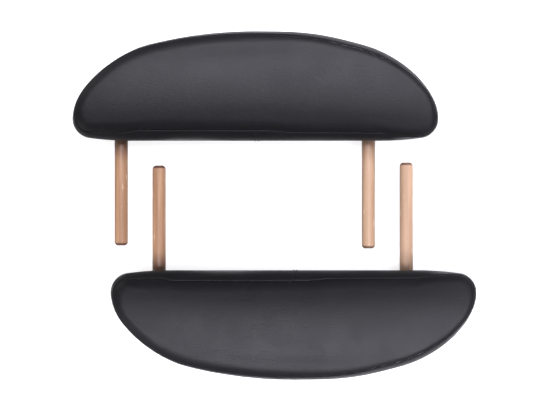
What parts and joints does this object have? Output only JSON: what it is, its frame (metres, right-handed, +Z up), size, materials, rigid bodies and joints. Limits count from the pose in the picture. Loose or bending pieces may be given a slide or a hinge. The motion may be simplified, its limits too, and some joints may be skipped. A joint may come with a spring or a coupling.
{
  "type": "pair of massage table side extensions",
  "caption": "Half-moon padded side extensions for a massage table, each a covered foam cushion on a board with round wooden dowels that plug into the table's side rail.",
  "frame": {"origin": "on the surface that the pair stands on, at the middle of the pair's outline seen from above", "axes": "+X along the straight sides towards the head dowels, +Y from the right pad to the left pad, +Z up through the cushions"},
  "size_m": [0.6624, 0.5718, 0.0994],
  "materials": {
    "black_leather": "satin",
    "grey_foam": "matte",
    "plywood": "matte",
    "black_lining": "matte",
    "bright_steel": "satin",
    "brown_beech": "satin",
    "pale_beech": "satin",
    "block_pine": "matte",
    "zinc_steel": "satin"
  },
  "bodies": {
    "left_pad": {"left_cover_top": "black_leather", "left_side_band": "black_leather", "left_foam_pad": "grey_foam", "left_base_board": "plywood", "left_lining": "black_lining", "left_staples": "bright_steel", "left_foot_dowel": "brown_beech", "left_head_dowel": "pale_beech", "left_foot_block": "block_pine", "left_head_block": "block_pine", "left_board_screws": "zinc_steel", "left_lock_screws": "zinc_steel"},
    "right_pad": {"right_cover_top": "black_leather", "right_side_band": "black_leather", "right_foam_pad": "grey_foam", "right_base_board": "plywood", "right_lining": "black_lining", "right_staples": "bright_steel", "right_foot_dowel": "brown_beech", "right_head_dowel": "pale_beech", "right_foot_block": "block_pine", "right_head_block": "block_pine", "right_board_screws": "zinc_steel", "right_lock_screws": "zinc_steel"}
  },
  "joints": [
    {"name": "pads_apart", "type": "slide", "parent": "left_pad", "child": "right_pad", "axis": [0, -1, 0], "range_m": [-0.2, 0.48]}
  ]
}
